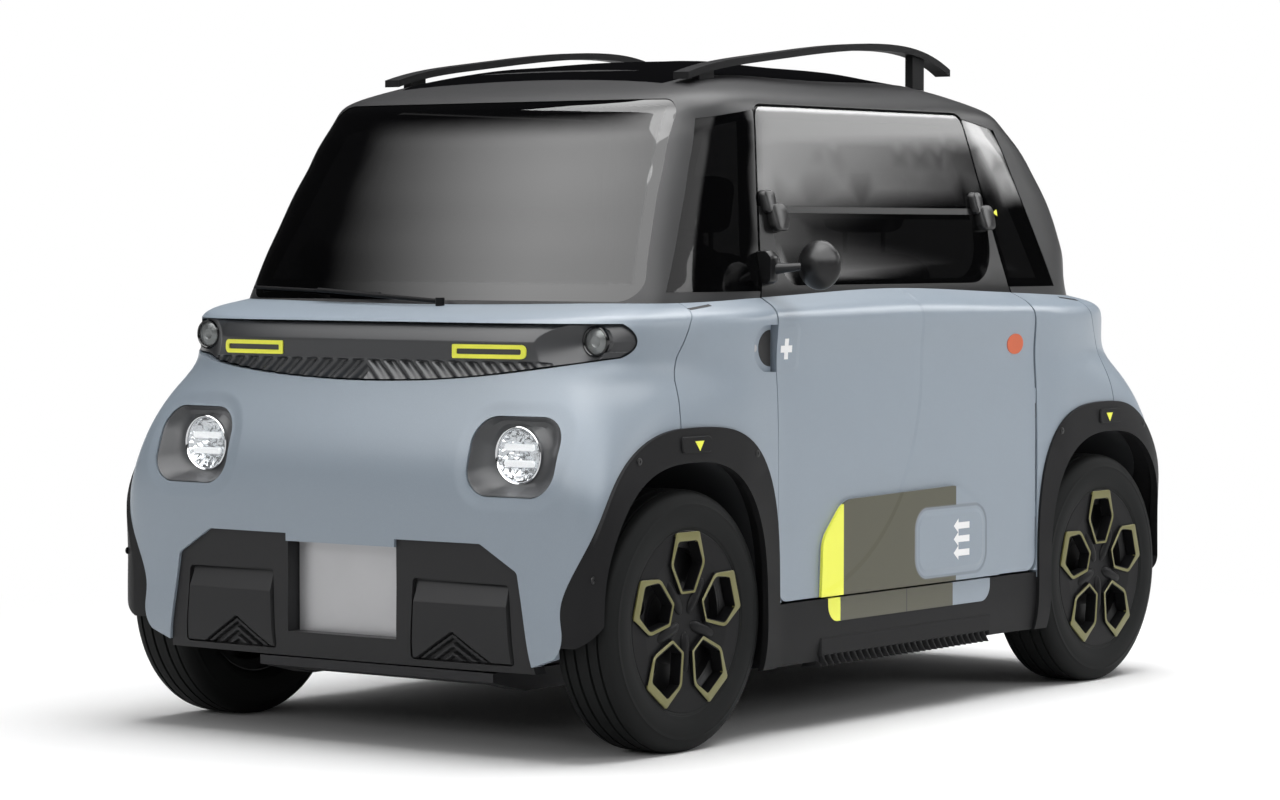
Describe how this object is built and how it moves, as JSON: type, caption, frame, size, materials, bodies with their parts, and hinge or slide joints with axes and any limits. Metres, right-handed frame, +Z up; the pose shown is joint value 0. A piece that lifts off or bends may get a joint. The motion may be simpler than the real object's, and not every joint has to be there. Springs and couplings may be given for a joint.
{
  "type": "electric microcar",
  "caption": "Boxy little electric car with a tall glazed cabin, doors hinged at opposite edges, steered front wheels, hexagon-windowed wheel covers and roof bars.",
  "frame": {"origin": "on the ground, midway between the axles and the sides", "axes": "+Z up, the front faces -Y, the left side is +X"},
  "size_m": [1.552, 2.4114, 1.5395],
  "materials": {
    "cladding": "fine-grained black",
    "frame_steel": "black paint",
    "roof_black": "satin black",
    "interior": "grained",
    "tinted_glass": "dark tint",
    "body_paint": "satin blue-grey paint",
    "alloy": "cast",
    "clear_lens": "clear",
    "cast": "rough",
    "gloss_black": "gloss black",
    "plate_silver": "brushed",
    "red_lens": "red",
    "seat_fabric": "woven",
    "tyre": "matt",
    "steel_black": "black paint"
  },
  "bodies": {
    "chassis": {"arch_trims": "cladding", "battery_box": "frame_steel", "bumper_inserts": "cladding", "cabin_frame": "roof_black", "cabin_tub": "interior", "chassis_frame": "frame_steel", "dashboard": "interior", "door_hinges": "frame_steel", "drive_motor": "alloy", "fenders": "body_paint", "front_arms": "frame_steel", "front_lamps": "clear_lens", "front_panel": "body_paint", "lamp_pods": "cladding", "light_bars": "gloss_black", "number_plates": "plate_silver", "quarter_windows": "tinted_glass", "rear_axle": "frame_steel", "rear_lamps": "red_lens", "rear_panel": "body_paint", "rear_window": "tinted_glass", "roof_bars": "cladding", "roof_glass": "gloss_black", "seat_bases": "interior", "seats": "seat_fabric", "sill_inserts": "body_paint", "sills": "cladding", "steering_column": "frame_steel", "wheel_liners": "cladding", "windscreen": "tinted_glass", "wiper": "cladding"},
    "steering_wheel": {"steering_wheel": "interior"},
    "knuckle_left": {"knuckle_left": "cast"},
    "knuckle_right": {"knuckle_right": "cast"},
    "door_left": {"door_frame_left": "cladding", "door_glass_left": "tinted_glass", "door_panel_left": "body_paint", "mirror_left": "cladding"},
    "door_right": {"door_frame_right": "cladding", "door_glass_right": "tinted_glass", "door_panel_right": "body_paint", "mirror_right": "cladding"},
    "wheel_front_left": {"tyre_front_left": "tyre", "wheel_front_left": "steel_black", "cover_front_left": "cladding"},
    "wheel_front_right": {"tyre_front_right": "tyre", "wheel_front_right": "steel_black", "cover_front_right": "cladding"},
    "wheel_rear_left": {"tyre_rear_left": "tyre", "wheel_rear_left": "steel_black", "cover_rear_left": "cladding"},
    "wheel_rear_right": {"tyre_rear_right": "tyre", "wheel_rear_right": "steel_black", "cover_rear_right": "cladding"}
  },
  "joints": [
    {"name": "door_left_hinge", "type": "hinge", "parent": "chassis", "child": "door_left", "pos_m": [0.674, 0.5408, 0.6], "axis": [0, 0, 1], "range_deg": [0, 70]},
    {"name": "door_right_hinge", "type": "hinge", "parent": "chassis", "child": "door_right", "pos_m": [-0.674, -0.5408, 0.6], "axis": [0, 0, 1], "range_deg": [0, 70]},
    {"name": "steer_left", "type": "hinge", "parent": "chassis", "child": "knuckle_left", "pos_m": [0.583, -0.864, 0.205], "axis": [-0.2433, 0, 0.97], "range_deg": [-30, 30]},
    {"name": "steer_right", "type": "hinge", "parent": "chassis", "child": "knuckle_right", "pos_m": [-0.583, -0.864, 0.205], "axis": [0.2433, 0, 0.97], "range_deg": [-30, 30]},
    {"name": "steering_wheel_turn", "type": "hinge", "parent": "chassis", "child": "steering_wheel", "pos_m": [0.275, -0.33, 0.905], "axis": [0, 0.932, 0.3624], "range_deg": [-430, 430]},
    {"name": "wheel_front_left_spin", "type": "hinge", "parent": "knuckle_left", "child": "wheel_front_left", "pos_m": [0.597, -0.864, 0.276], "axis": [1, 0, 0], "continuous": true},
    {"name": "wheel_front_right_spin", "type": "hinge", "parent": "knuckle_right", "child": "wheel_front_right", "pos_m": [-0.597, -0.864, 0.276], "axis": [1, 0, 0], "continuous": true},
    {"name": "wheel_rear_left_spin", "type": "hinge", "parent": "chassis", "child": "wheel_rear_left", "pos_m": [0.597, 0.864, 0.276], "axis": [1, 0, 0], "continuous": true},
    {"name": "wheel_rear_right_spin", "type": "hinge", "parent": "chassis", "child": "wheel_rear_right", "pos_m": [-0.597, 0.864, 0.276], "axis": [1, 0, 0], "continuous": true}
  ],
  "couplings": [
    {"joint": "steer_right", "follows": "steer_left", "ratio": 1},
    {"joint": "steering_wheel_turn", "follows": "steer_left", "ratio": 14}
  ]
}
